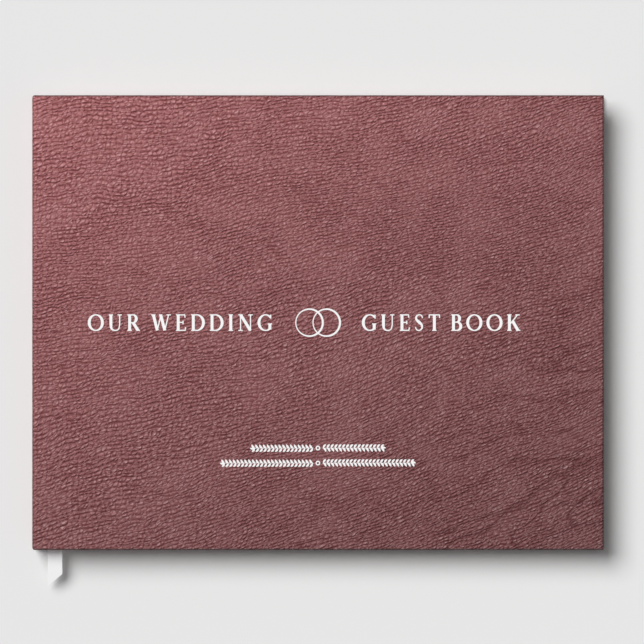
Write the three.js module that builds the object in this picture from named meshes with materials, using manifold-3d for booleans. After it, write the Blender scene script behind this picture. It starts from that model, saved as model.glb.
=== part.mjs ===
// A landscape hardcover guest book: a leather-covered case of two boards and a spine panel,
// round a sewn block of eight gatherings with endpapers, headbands and a satin page marker.
// Millimetres. +X points to the fore-edge, +Y to the head, +Z up through the closed book.
// The origin is under the middle of the closed book, on the surface that it lies on.
import * as THREE from "three";
import Module from "manifold-3d";
import { mergeVertices } from "three/addons/utils/BufferGeometryUtils.js";

const wasm = await Module();
wasm.setup();

// Driving dimensions
const COVER_WIDTH = 279.4; // 11 in, spine to fore-edge
const COVER_HEIGHT = 222.25; // 8.75 in, tail to head
const BOOK_THICKNESS = 17.5;
const LEATHER = 0.4;
const BOARD = 2.2;
const ENDPAPER = 0.2;
const SQUARE = 3.2; // how far the covers stand past the pages
const TURN_IN = 16; // leather folded onto the inside of a board
const HINGE_TO_BOARD = 4.4; // from a cover's hinge line to the edge of its board
const FRONT_GATHERINGS = 4; // those above the page marker, with as many below it
const AIR = 0.03; // between one sheet and the next
const CLEARANCE = 0.2; // between the spine panel and the back of the block

const SPINE_LINING = 0.35;
const SEWING_THREAD = 0.35;
const THREAD_WIDTH = 0.6;
const SEWING_STATIONS = [-75, -25, 25, 75]; // where the thread crosses the spine, along Y
const BAND_RADIUS = 0.9;
const RIBBON_WIDTH = 7.1;
const RIBBON_THICKNESS = 0.25;

// Levels and edges that follow from them
const COVER = LEATHER + BOARD + LEATHER + ENDPAPER; // leather, board, turned-in leather, paper
const HALF_HEIGHT = COVER_HEIGHT / 2;
const FORE_EDGE = COVER_WIDTH / 2;
const SPINE_FACE = -COVER_WIDTH / 2;
const HINGE_X = SPINE_FACE + COVER;
const BOARD_EDGE = HINGE_X + HINGE_TO_BOARD;
const BACK_HINGE_Z = COVER; // the inner face of the back cover
const FRONT_HINGE_Z = BOOK_THICKNESS - COVER; // the inner face of the front cover
const MIDDLE_Z = BOOK_THICKNESS / 2;
const LINING_X = HINGE_X + 0.05;
const THREAD_X = LINING_X + SPINE_LINING + 0.05;
const BLOCK_EDGE = THREAD_X + SEWING_THREAD + 0.05;
const PAGE_FORE_EDGE = FORE_EDGE - SQUARE;
const HALF_PAGE = HALF_HEIGHT - SQUARE;
const FLYLEAF_TOP = FRONT_HINGE_Z - AIR;
const MARKER_SLOT = RIBBON_THICKNESS / 2 + AIR; // half of the gap that the marker lies in
const GATHERING =
  (FLYLEAF_TOP - ENDPAPER - AIR - MIDDLE_Z - MARKER_SLOT) / FRONT_GATHERINGS - AIR;

const LEATHER_LOOK = { color: 0x8f5a5c, roughness: 0.55, metalness: 0 };
const BOARD_LOOK = { color: 0x8b8680, roughness: 0.9, metalness: 0 };
const ENDPAPER_LOOK = { color: 0xf3efe6, roughness: 0.85, metalness: 0 };
const PAGE_LOOK = { color: 0xf6f2e9, roughness: 0.9, metalness: 0 };
const CLOTH_LOOK = { color: 0xe4ddcc, roughness: 0.95, metalness: 0 };
const THREAD_LOOK = { color: 0xf0ece2, roughness: 0.8, metalness: 0 };
const BAND_LOOK = { color: 0xf2eeee, roughness: 0.7, metalness: 0 };
const SATIN_LOOK = { color: 0xfafafa, roughness: 0.35, metalness: 0 };

const book = new THREE.Group();

function addPiece(name, geometry, look) {
  const mesh = new THREE.Mesh(geometry, new THREE.MeshStandardMaterial(look));
  mesh.name = name;
  book.add(mesh);
}

// A box between two corners.
function box([x0, y0, z0], [x1, y1, z1]) {
  const geometry = new THREE.BoxGeometry(x1 - x0, y1 - y0, z1 - z0);
  return geometry.translate((x0 + x1) / 2, (y0 + y1) / 2, (z0 + z1) / 2);
}

// A three.js geometry as a manifold solid, and back.
function solid(geometry) {
  const bare = geometry.clone();
  bare.deleteAttribute("normal");
  bare.deleteAttribute("uv");
  const merged = mergeVertices(bare, 1e-4);
  return new wasm.Manifold(
    new wasm.Mesh({
      numProp: 3,
      vertProperties: new Float32Array(merged.attributes.position.array),
      triVerts: new Uint32Array(merged.index.array),
    }),
  );
}

function geometryOf(manifold) {
  const { vertProperties, triVerts } = manifold.getMesh();
  const geometry = new THREE.BufferGeometry();
  geometry.setAttribute("position", new THREE.BufferAttribute(vertProperties, 3));
  geometry.setIndex(new THREE.BufferAttribute(triVerts, 1));
  geometry.computeVertexNormals();
  return geometry;
}

// Turns a piece of the front half over about the middle of the block, onto the back half.
function mirrorToBack(geometry) {
  const flipped = geometry.clone().rotateX(Math.PI);
  return flipped.translate(0, 0, BOOK_THICKNESS);
}

// The leather of one cover: over the board's outer face and three edges, and turned in.
function coverLeather() {
  const outer = box(
    [BOARD_EDGE, -HALF_HEIGHT, FRONT_HINGE_Z + ENDPAPER],
    [FORE_EDGE, HALF_HEIGHT, BOOK_THICKNESS],
  );
  const boardSpace = box(
    [BOARD_EDGE - 1, LEATHER - HALF_HEIGHT, FRONT_HINGE_Z + ENDPAPER + LEATHER],
    [FORE_EDGE - LEATHER, HALF_HEIGHT - LEATHER, BOOK_THICKNESS - LEATHER],
  );
  const window = box(
    [BOARD_EDGE - 1, TURN_IN - HALF_HEIGHT, FRONT_HINGE_Z],
    [FORE_EDGE - TURN_IN, HALF_HEIGHT - TURN_IN, FRONT_HINGE_Z + ENDPAPER + 2 * LEATHER],
  );
  return geometryOf(solid(outer).subtract(solid(boardSpace)).subtract(solid(window)));
}

function coverBoard() {
  return box(
    [BOARD_EDGE, LEATHER - HALF_HEIGHT, FRONT_HINGE_Z + ENDPAPER + LEATHER],
    [FORE_EDGE - LEATHER, HALF_HEIGHT - LEATHER, BOOK_THICKNESS - LEATHER],
  );
}

// The endpaper half glued inside a cover: over the turned-in leather, and down onto the board.
function pastedown() {
  const edge = FRONT_HINGE_Z + ENDPAPER;
  const board = edge + LEATHER;
  const inset = TURN_IN + 0.3;
  const sheet = box([BOARD_EDGE, -HALF_PAGE, FRONT_HINGE_Z], [PAGE_FORE_EDGE, HALF_PAGE, edge]);
  const sunk = box(
    [BOARD_EDGE, inset - HALF_HEIGHT, FRONT_HINGE_Z],
    [FORE_EDGE - inset, HALF_HEIGHT - inset, board],
  );
  const hollow = box(
    [BOARD_EDGE - 1, inset + ENDPAPER - HALF_HEIGHT, FRONT_HINGE_Z - 1],
    [FORE_EDGE - inset - ENDPAPER, HALF_HEIGHT - inset - ENDPAPER, board - ENDPAPER],
  );
  return geometryOf(solid(sheet).add(solid(sunk)).subtract(solid(hollow)));
}

// The leather that bridges a joint: up the spine's edge and across to the board.
function jointLeather() {
  const outline = new THREE.Shape();
  outline.moveTo(SPINE_FACE, FRONT_HINGE_Z);
  outline.lineTo(SPINE_FACE + LEATHER, FRONT_HINGE_Z);
  outline.lineTo(SPINE_FACE + LEATHER, BOOK_THICKNESS - LEATHER);
  outline.lineTo(BOARD_EDGE, BOOK_THICKNESS - LEATHER);
  outline.lineTo(BOARD_EDGE, BOOK_THICKNESS);
  outline.lineTo(SPINE_FACE, BOOK_THICKNESS);
  return extrudeAlongY(outline, -HALF_HEIGHT, HALF_HEIGHT);
}

// An outline drawn in X and Z, extruded from one Y to another.
function extrudeAlongY(outline, from, to) {
  const geometry = new THREE.ExtrudeGeometry(outline, {
    depth: to - from,
    bevelEnabled: false,
    curveSegments: 6,
  });
  return geometry.rotateX(Math.PI / 2).translate(0, to, 0);
}

// The spine panel's leather: its outer face, turned in over the board at head and tail.
function spineLeather() {
  const inner = SPINE_FACE + LEATHER + BOARD;
  const outer = box(
    [SPINE_FACE, -HALF_HEIGHT, BACK_HINGE_Z],
    [inner + LEATHER, HALF_HEIGHT, FRONT_HINGE_Z],
  );
  const boardSpace = box(
    [SPINE_FACE + LEATHER, LEATHER - HALF_HEIGHT, BACK_HINGE_Z - 1],
    [inner, HALF_HEIGHT - LEATHER, FRONT_HINGE_Z + 1],
  );
  const window = box(
    [inner - LEATHER, TURN_IN - HALF_HEIGHT, BACK_HINGE_Z - 1],
    [inner + 1, HALF_HEIGHT - TURN_IN, FRONT_HINGE_Z + 1],
  );
  return geometryOf(solid(outer).subtract(solid(boardSpace)).subtract(solid(window)));
}

// One gathering of folded sheets: square at the fore-edge, with its fold at the spine.
function gathering(bottom) {
  const top = bottom + GATHERING;
  const fold = GATHERING / 2;
  const outline = new THREE.Shape();
  outline.moveTo(BLOCK_EDGE + fold, bottom);
  outline.lineTo(PAGE_FORE_EDGE, bottom);
  outline.lineTo(PAGE_FORE_EDGE, top);
  outline.lineTo(BLOCK_EDGE + fold, top);
  outline.absarc(BLOCK_EDGE + fold, bottom + fold, fold, Math.PI / 2, 1.5 * Math.PI, false);
  return extrudeAlongY(outline, -HALF_PAGE, HALF_PAGE);
}

function flyleaf() {
  return box(
    [BLOCK_EDGE, -HALF_PAGE, FLYLEAF_TOP - ENDPAPER],
    [PAGE_FORE_EDGE, HALF_PAGE, FLYLEAF_TOP],
  );
}

// A woven band that caps the back of the block: a roll as long as the block is thick.
function band(y) {
  const sides = 16;
  const roll = new THREE.CylinderGeometry(
    BAND_RADIUS,
    BAND_RADIUS,
    FLYLEAF_TOP - BACK_HINGE_Z - AIR,
    sides,
  );
  return roll.rotateX(Math.PI / 2).translate(HINGE_X + BAND_RADIUS + 0.1, y, MIDDLE_Z);
}

// The page marker's stations: its middle, and half its width as a vector. It starts under the
// headband, turns over the head of the pages, lies in the middle of the block and comes out at
// the tail, where it stands out with a slight droop and ends in a slanting cut.
const MARKER_X = SPINE_FACE + 10.85;
const ACROSS = RIBBON_WIDTH / 2;
const CUT_RISE = 2.95; // half of how much longer the marker is on its spine side
const MARKER_STATIONS = [
  { at: [-135.6, 108.3, 6.2], half: [0, 0, 2.4] },
  { at: [-134.0, 108.4, 6.4], half: [0, 0, 2.5] },
  { at: [-132.2, 109.1, 6.9], half: [1.0, 0.2, 2.6] },
  { at: [-130.4, 109.5, 7.6], half: [2.2, 0.3, 2.2] },
  { at: [-129.2, 109.0, 8.4], half: [3.1, 0.1, 1.1] },
  { at: [MARKER_X, 108.4, MIDDLE_Z], half: [ACROSS, 0, 0] },
  { at: [MARKER_X, 107.6, MIDDLE_Z], half: [ACROSS, 0, 0] },
  { at: [MARKER_X, 90, MIDDLE_Z], half: [ACROSS, 0, 0] },
  { at: [MARKER_X, 50, MIDDLE_Z], half: [ACROSS, 0, 0] },
  { at: [MARKER_X, 10, MIDDLE_Z], half: [ACROSS, 0, 0] },
  { at: [MARKER_X, -30, MIDDLE_Z], half: [ACROSS, 0, 0] },
  { at: [MARKER_X, -70, MIDDLE_Z], half: [ACROSS, 0, 0] },
  { at: [MARKER_X, -107.0, MIDDLE_Z], half: [ACROSS, 0, 0] },
  { at: [MARKER_X, -109.0, MIDDLE_Z], half: [ACROSS, 0, 0] },
  { at: [MARKER_X, -112.0, 8.7], half: [ACROSS, 0, 0] },
  { at: [MARKER_X, -116.0, 8.45], half: [ACROSS, 0, 0] },
  { at: [MARKER_X, -120.0, 8.0], half: [ACROSS, 0, 0] },
  { at: [MARKER_X, -126.15, 6.85], half: [ACROSS, CUT_RISE, 0.6] },
];

// A thin strip through stations, as one closed solid of four-cornered sections.
function strip(stations, thickness) {
  const corners = [];
  stations.forEach(({ at, half }, i) => {
    const middle = new THREE.Vector3(...at);
    const across = new THREE.Vector3(...half);
    const before = new THREE.Vector3(...stations[Math.max(i - 1, 0)].at);
    const after = new THREE.Vector3(...stations[Math.min(i + 1, stations.length - 1)].at);
    const along = after.sub(before).normalize();
    const up = across.clone().cross(along).normalize().multiplyScalar(thickness / 2);
    for (const [side, face] of [[-1, -1], [1, -1], [1, 1], [-1, 1]]) {
      const corner = middle.clone().addScaledVector(across, side).addScaledVector(up, face);
      corners.push(...corner.toArray());
    }
  });
  const faces = [];
  const last = 4 * (stations.length - 1);
  for (let s = 0; s < last; s += 4) {
    for (let k = 0; k < 4; k++) {
      const [a, b] = [s + k, s + ((k + 1) % 4)];
      faces.push(a, b + 4, b, a, a + 4, b + 4);
    }
  }
  faces.push(0, 1, 2, 0, 2, 3);
  faces.push(last, last + 2, last + 1, last, last + 3, last + 2);
  const geometry = new THREE.BufferGeometry();
  geometry.setAttribute("position", new THREE.Float32BufferAttribute(corners, 3));
  geometry.setIndex(faces);
  geometry.computeVertexNormals();
  return geometry;
}

// The case: two covers, two joints and the spine panel between them
addPiece("front_cover_leather", coverLeather(), LEATHER_LOOK);
addPiece("front_board", coverBoard(), BOARD_LOOK);
addPiece("front_pastedown", pastedown(), ENDPAPER_LOOK);
addPiece("front_joint_leather", jointLeather(), LEATHER_LOOK);
addPiece("back_cover_leather", mirrorToBack(coverLeather()), LEATHER_LOOK);
addPiece("back_board", mirrorToBack(coverBoard()), BOARD_LOOK);
addPiece("back_pastedown", mirrorToBack(pastedown()), ENDPAPER_LOOK);
addPiece("back_joint_leather", mirrorToBack(jointLeather()), LEATHER_LOOK);
addPiece("spine_leather", spineLeather(), LEATHER_LOOK);
addPiece(
  "spine_board",
  box(
    [SPINE_FACE + LEATHER, LEATHER - HALF_HEIGHT, BACK_HINGE_Z],
    [SPINE_FACE + LEATHER + BOARD, HALF_HEIGHT - LEATHER, FRONT_HINGE_Z],
  ),
  BOARD_LOOK,
);

// The sewn block, with gathering 1 next to the front cover
addPiece("front_flyleaf", flyleaf(), ENDPAPER_LOOK);
for (let i = 0; i < FRONT_GATHERINGS; i++) {
  const bottom = MIDDLE_Z + MARKER_SLOT + i * (GATHERING + AIR);
  addPiece(`gathering_${FRONT_GATHERINGS - i}`, gathering(bottom), PAGE_LOOK);
  addPiece(`gathering_${FRONT_GATHERINGS + 1 + i}`, mirrorToBack(gathering(bottom)), PAGE_LOOK);
}
addPiece("back_flyleaf", mirrorToBack(flyleaf()), ENDPAPER_LOOK);

SEWING_STATIONS.forEach((y, i) => {
  const thread = box(
    [THREAD_X, y - THREAD_WIDTH / 2, BACK_HINGE_Z + ENDPAPER],
    [THREAD_X + SEWING_THREAD, y + THREAD_WIDTH / 2, FRONT_HINGE_Z - ENDPAPER],
  );
  addPiece(`sewing_thread_${i + 1}`, thread, THREAD_LOOK);
});
addPiece(
  "spine_lining",
  box(
    [LINING_X, -HALF_PAGE + 4, BACK_HINGE_Z + CLEARANCE],
    [LINING_X + SPINE_LINING, HALF_PAGE - 4, FRONT_HINGE_Z - CLEARANCE],
  ),
  CLOTH_LOOK,
);
const BAND_Y = HALF_PAGE + BAND_RADIUS + 0.6;
addPiece("head_band", band(BAND_Y), BAND_LOOK);
addPiece("tail_band", band(-BAND_Y), BAND_LOOK);
addPiece("page_marker_ribbon", strip(MARKER_STATIONS, RIBBON_THICKNESS), SATIN_LOOK);

export default book;
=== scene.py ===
"""A leather-covered landscape guest book with a satin page marker, lying closed on a pale table."""
import math

import bmesh
import bpy
import numpy as np
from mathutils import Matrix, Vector


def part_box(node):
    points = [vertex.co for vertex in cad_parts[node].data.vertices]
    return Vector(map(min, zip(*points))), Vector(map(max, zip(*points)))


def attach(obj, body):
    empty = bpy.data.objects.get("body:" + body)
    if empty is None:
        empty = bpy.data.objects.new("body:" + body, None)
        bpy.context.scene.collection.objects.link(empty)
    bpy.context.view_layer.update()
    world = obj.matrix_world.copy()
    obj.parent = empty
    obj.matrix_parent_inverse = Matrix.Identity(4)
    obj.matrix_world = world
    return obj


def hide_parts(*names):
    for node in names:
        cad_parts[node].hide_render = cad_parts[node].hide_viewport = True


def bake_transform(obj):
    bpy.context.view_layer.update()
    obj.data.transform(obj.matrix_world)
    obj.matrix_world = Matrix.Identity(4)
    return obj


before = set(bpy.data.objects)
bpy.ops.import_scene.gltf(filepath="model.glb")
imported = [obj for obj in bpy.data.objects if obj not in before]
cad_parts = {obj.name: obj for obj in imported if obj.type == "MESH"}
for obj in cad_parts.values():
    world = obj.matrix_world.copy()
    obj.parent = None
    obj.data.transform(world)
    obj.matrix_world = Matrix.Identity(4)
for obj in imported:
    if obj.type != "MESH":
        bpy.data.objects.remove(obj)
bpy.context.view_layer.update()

MM = 0.001

# Places that everything else is worked out from, in metres, read from the frame
cover_low, cover_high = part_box("front_cover_leather")
spine_low, spine_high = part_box("spine_leather")
HALF_HEIGHT = cover_high.y
FORE_EDGE = cover_high.x
TOP = cover_high.z
MIDDLE = TOP / 2
SPINE = spine_low.x
BOARD_EDGE = cover_low.x  # where the boards begin, past the joints
TURN_IN_DEPTH = cover_high.z - cover_low.z  # from a cover's outer face to its turned-in leather
HINGE_Z = spine_high.z  # where the spine panel ends and the front cover's inner face lies


# ---- meshes

CREASE_ANGLE = math.radians(50)  # edges that bend more than this are shaded sharp


def new_object(name, points, faces, smooth=True):
    """A mesh object of these points and faces, with its faces turned outwards."""
    mesh = bpy.data.meshes.new(name)
    mesh.from_pydata([tuple(p) for p in points], [], faces)
    shape = bmesh.new()
    shape.from_mesh(mesh)
    bmesh.ops.recalc_face_normals(shape, faces=shape.faces)
    shape.to_mesh(mesh)
    shape.free()
    mesh.polygons.foreach_set("use_smooth", [smooth] * len(mesh.polygons))
    mesh.set_sharp_from_angle(angle=CREASE_ANGLE)
    made = bpy.data.objects.new(name, mesh)
    bpy.context.collection.objects.link(made)
    return made


def finish_piece(piece, look, slot, *replaced):
    """Gives a piece its material and hides the CAD nodes that it stands for; slot is not used."""
    piece.data.materials.append(look)
    if replaced:
        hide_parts(*replaced)
    return piece


def sheet_mesh(middle, thickness):
    """Points and faces of a thin closed sheet round a grid of points, of shape (m, n, 3)."""
    across = np.gradient(middle, axis=0)
    along = np.gradient(middle, axis=1)
    normal = np.cross(across, along)
    normal /= np.linalg.norm(normal, axis=2, keepdims=True)
    m, n, _ = middle.shape
    upper = (middle + normal * thickness / 2).reshape(-1, 3)
    lower = (middle - normal * thickness / 2).reshape(-1, 3)
    count = m * n
    faces = []
    for i in range(m - 1):
        for j in range(n - 1):
            a, b, c, d = i * n + j, (i + 1) * n + j, (i + 1) * n + j + 1, i * n + j + 1
            faces.append((a, b, c, d))
            faces.append((count + d, count + c, count + b, count + a))
    rim = [(i, 0) for i in range(m)] + [(m - 1, j) for j in range(1, n)]
    rim += [(i, n - 1) for i in range(m - 2, -1, -1)] + [(0, j) for j in range(n - 2, 0, -1)]
    for (i, j), (next_i, next_j) in zip(rim, rim[1:] + rim[:1]):
        a, b = i * n + j, next_i * n + next_j
        faces.append((b, a, count + a, count + b))
    return np.concatenate([upper, lower]), faces


def sheet_piece(name, node, look, slot, grid, thickness):
    """A thin sheet that stands for a CAD node; grid is its x, y and z, each of shape (m, n)."""
    points, faces = sheet_mesh(np.stack(grid, axis=2), thickness)
    return finish_piece(new_object(name, points, faces), look, slot, node)


def tube_faces(rings, sides, closed):
    """Faces of a tube made of rings of points, closed round on itself or capped at its ends."""
    faces = []
    for step in range(rings if closed else rings - 1):
        here, ahead = step * sides, (step + 1) % rings * sides
        for k in range(sides):
            beside = (k + 1) % sides
            faces.append((here + k, here + beside, ahead + beside, ahead + k))
    if not closed:
        faces += [tuple(range(sides))[::-1], tuple((rings - 1) * sides + k for k in range(sides))]
    return faces


def join_meshes(parts):
    """Several (points, faces) as one."""
    points, faces, start = [], [], 0
    for part_points, part_faces in parts:
        points.append(np.asarray(part_points, float))
        faces += [tuple(start + i for i in face) for face in part_faces]
        start += len(part_points)
    return np.concatenate(points), faces


def smoothstep(x):
    """An S curve from 0 at x = 0 to 1 at x = 1."""
    x = np.clip(x, 0, 1)
    return x * x * (3 - 2 * x)


# ---- noise for relief in the meshes

def lattice_noise(x, y, seed):
    """Gradient noise on the unit lattice, about -1 to 1, the same on every run."""
    cell_x, cell_y = np.floor(x).astype(np.int64), np.floor(y).astype(np.int64)
    part_x, part_y = x - cell_x, y - cell_y

    def pull(step_x, step_y):
        """One corner's slope there; its direction comes from its numbers, well mixed."""
        mixed = (cell_x + step_x) * 374761393 + (cell_y + step_y) * 668265263 + seed * 144665
        mixed = (mixed ^ (mixed >> 13)) * 1274126177 & 0xFFFFFFFF
        turn = (mixed ^ (mixed >> 16)) % 65536 / 65536 * 2 * np.pi
        return np.cos(turn) * (part_x - step_x) + np.sin(turn) * (part_y - step_y)

    fade_x, fade_y = smoothstep(part_x), smoothstep(part_y)
    low = pull(0, 0) * (1 - fade_x) + pull(1, 0) * fade_x
    high = pull(0, 1) * (1 - fade_x) + pull(1, 1) * fade_x
    return (low * (1 - fade_y) + high * fade_y) * 1.5


# The wrinkles climb to the right: their slope is GRAIN_SLOPE in the middle of the cover, and
# changes by GRAIN_TURN for each metre to the right and up.
GRAIN_SLOPE = 0.27
GRAIN_TURN = (1.0, -0.9)
RELIEF_HEIGHT = 0.05 * MM
RELIEF_SINK = 0.6  # the wrinkles' middle is this many heights below the CAD's face
BROAD_WRINKLE = (9.0, 3.1)  # length and width, in millimetres
FINE_WRINKLE = (3.6, 1.5)
CREASE_SPACING = (26.0, 9.0)  # along and across the wrinkles, in millimetres
CREASE_NARROWNESS = 12
SWAY = 5  # how far the wrinkles wander sideways, in millimetres
SWAY_LENGTH = 50 * MM


def leather_relief(x, y):
    """Height of the leather's broader wrinkles, about -1 to 1, at a place on the flat hide."""
    lean = x * (GRAIN_SLOPE + GRAIN_TURN[0] / 2 * x + GRAIN_TURN[1] * y)
    rise = (y - lean) / MM + SWAY * lattice_noise(x / SWAY_LENGTH, y / SWAY_LENGTH, 5)
    run = x / MM
    broad = lattice_noise(run / BROAD_WRINKLE[0], rise / BROAD_WRINKLE[1], 11)
    fine = lattice_noise(run / FINE_WRINKLE[0], rise / FINE_WRINKLE[1], 17)
    wander = lattice_noise(run / CREASE_SPACING[0], rise / CREASE_SPACING[1], 23)
    crease = 1 - np.clip(np.abs(wander) * CREASE_NARROWNESS, 0, 1)
    return 0.35 * broad + 0.5 * fine - 0.6 * crease


# ---- materials

def new_look(name, colour, roughness, **sockets):
    """A material with one Principled shader, and a small helper to add nodes to it."""
    look = bpy.data.materials.new(name)
    look.use_nodes = True
    nodes, links = look.node_tree.nodes, look.node_tree.links
    shader = nodes["Principled BSDF"]
    shader.inputs["Base Color"].default_value = (*colour, 1)
    shader.inputs["Roughness"].default_value = roughness
    for socket, value in sockets.items():
        shader.inputs[socket.replace("_", " ")].default_value = value

    def add(kind, inputs=None, **settings):
        node = nodes.new(kind)
        for key, value in settings.items():
            setattr(node, key, value)
        for key, value in (inputs or {}).items():
            if isinstance(value, bpy.types.NodeSocket):
                links.new(value, node.inputs[key])
            else:
                node.inputs[key].default_value = value
        return node

    def to_shader(socket, value):
        links.new(value, shader.inputs[socket])

    return look, add, to_shader


def math_node(add, operation, a, b=0.0):
    """One step of arithmetic; a and b are sockets or numbers."""
    return add("ShaderNodeMath", {0: a, 1: b}, operation=operation).outputs[0]


def times(add, a, b):
    """Their product."""
    return math_node(add, "MULTIPLY", a, b)


def mix_colour(add, share, a, b, mode="MIX"):
    """Blends two colours; a and b are sockets or RGB values."""
    node = add("ShaderNodeMix", data_type="RGBA", blend_type=mode)
    node.inputs[0].default_value = 1.0
    for index, value in ((0, share), (6, a), (7, b)):
        if isinstance(value, bpy.types.NodeSocket):
            node.id_data.links.new(value, node.inputs[index])
        else:
            node.inputs[index].default_value = (*value, 1) if index else value
    return node.outputs[2]


def object_place(add):
    """Where a point is on its own object, in metres."""
    return add("ShaderNodeTexCoord").outputs["Object"]


def noise(add, place, scale, detail, roughness=0.5):
    """Soft noise about 0.5, with so many cells to a metre."""
    inputs = {"Vector": place, "Scale": scale, "Detail": detail, "Roughness": roughness}
    return add("ShaderNodeTexNoise", inputs).outputs[0]


def remap(add, value, start, end, new_start, new_end, curve="LINEAR"):
    """Values from start to end, carried over to new_start to new_end and held there."""
    inputs = {0: value, 1: start, 2: end, 3: new_start, 4: new_end}
    return add("ShaderNodeMapRange", inputs, interpolation_type=curve).outputs[0]


def part(add, place, axis):
    """The X, Y or Z of a place."""
    return add("ShaderNodeSeparateXYZ", {0: place}).outputs[axis]


def dot(add, place, direction):
    """How far a place lies along a direction."""
    node = add("ShaderNodeVectorMath", {0: place, 1: direction}, operation="DOT_PRODUCT")
    return node.outputs["Value"]


def add_bump(add, to_shader, height, strength, distance):
    """Fine relief in the shading; distance is in metres."""
    bump = add("ShaderNodeBump", {"Height": height, "Strength": strength, "Distance": distance})
    to_shader("Normal", bump.outputs[0])


GRAIN_DRIFTS = ((11.0, 16 * MM), (55.0, 2.4 * MM), (240.0, 0.6 * MM))  # cells to a metre, reach
GRAIN_STRETCH = 0.42  # the width of the grain's pattern for its length


def grain_place(add, place):
    """Where a point lies along and across the wrinkles, drawn out along them."""
    turn = (GRAIN_TURN[0] / 2, GRAIN_TURN[1], 0.0)
    slope = math_node(add, "ADD", dot(add, place, turn), GRAIN_SLOPE)
    lean = times(add, part(add, place, "X"), slope)
    rise = math_node(add, "SUBTRACT", part(add, place, "Y"), lean)
    for scale, reach in GRAIN_DRIFTS:
        rise = math_node(add, "ADD", rise, times(add, noise(add, place, scale, 0.0), reach))
    run = times(add, part(add, place, "X"), GRAIN_STRETCH)
    return add("ShaderNodeCombineXYZ", {0: run, 1: rise, 2: part(add, place, "Z")}).outputs[0]


ROW_PITCH = 1.85 * MM  # from one row of pebbles to the next
ROW_SWAY = 7.5  # how far the rows wander, in radians of their wave
PEBBLES = 590.0  # to a metre, across the rows
PEBBLE_SQUEEZE = 1.65  # along the rows, against the grain's own stretch
CREASE_CORNER = (1.0, -1.2, 0.0)  # the way to the corner with the long creases
CREASE_DEPTH = 0.34  # for the depth of the grain
GRAIN_DEPTH = 0.74 * MM


def long_creases(add, place, grain):
    """Thin wandering creases along the wrinkles, only towards the lower right corner."""
    wander = math_node(add, "SUBTRACT", noise(add, grain, 52.0, 2.0), 0.5)
    away = math_node(add, "ABSOLUTE", wander)
    crease = remap(add, away, 0.0, 0.03, 1.0, 0.0, "SMOOTHSTEP")
    corner = remap(add, dot(add, place, CREASE_CORNER), 0.06, 0.2, 0.0, 1.0)
    return times(add, crease, corner)


def leather_height(add, place, grain):
    """Rows of rounded pebbles with narrow creases between, flatter in places, with pores."""
    sway = times(add, noise(add, grain, 230.0, 3.0, 0.56), ROW_SWAY)
    row = math_node(add, "ADD", times(add, part(add, grain, "Y"), math.pi / ROW_PITCH), sway)
    row = math_node(add, "ABSOLUTE", math_node(add, "SINE", row))
    row = math_node(add, "POWER", row, 0.7)
    rounder = add("ShaderNodeMapping", {"Vector": grain, "Scale": (PEBBLE_SQUEEZE, 1, 1)}).outputs[0]
    pebble = add("ShaderNodeTexVoronoi", {"Vector": rounder, "Scale": PEBBLES, "Randomness": 0.95},
                 feature="DISTANCE_TO_EDGE").outputs["Distance"]
    pebble = remap(add, pebble, 0.0, 0.3, 0.0, 1.0, "SMOOTHSTEP")
    swell = noise(add, rounder, 700.0, 1.0)
    height = -0.85
    for layer, share in ((row, 0.5), (pebble, 0.44), (swell, 0.6)):
        height = math_node(add, "ADD", height, times(add, layer, share))
    flatness = remap(add, noise(add, place, 48.0, 1.0), 0.38, 0.66, 1.0, 0.62)
    height = times(add, height, flatness)
    creases = times(add, long_creases(add, place, grain), CREASE_DEPTH)
    height = math_node(add, "SUBTRACT", height, creases)
    pores = times(add, noise(add, place, 2400.0, 2.0), 0.06)
    return math_node(add, "ADD", height, pores)


def edge_shade_mask(add, place):
    """1 where the leather turns down over the edges of the covers, else 0; painted shade goes there.
    """
    plan = add("ShaderNodeVectorMath", {0: place}, operation="ABSOLUTE").outputs[0]
    beyond = math_node(add, "MAXIMUM", math_node(add, "SUBTRACT", part(add, plan, "X"), FORE_EDGE),
                       math_node(add, "SUBTRACT", part(add, plan, "Y"), HALF_HEIGHT))
    near = remap(add, beyond, -1.0 * MM, -0.35 * MM, 0.0, 1.0, "SMOOTHSTEP")
    away = math_node(add, "SUBTRACT", part(add, place, "Z"), MIDDLE)
    away = math_node(add, "ABSOLUTE", away)
    outside = remap(add, away, MIDDLE - 1.8 * MM, MIDDLE - 0.5 * MM, 0.0, 1.0, "SMOOTHSTEP")
    return times(add, near, outside)


ROSE = (0.24, 0.077, 0.08)
# painted highlight and painted shade of the grain: the ridges' colour is paler and the creases'
# deeper, as light and shade would make them
RIDGE_ROSE_PAINTED_HIGHLIGHT = (0.322, 0.12, 0.124)
CREASE_ROSE_PAINTED_SHADE = (0.158, 0.033, 0.036)
RED_ROSE = (0.25, 0.071, 0.075)
PAINTED_LIGHT_WAY = (-1.2, 2.4, 0.0)  # painted light: the leather is painted paler this way, by so much to a metre, as if lit from the upper left
# painted shade along the covers' edges: this share darker where the leather turns down
PAINTED_EDGE_SHADE = 0.66


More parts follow.
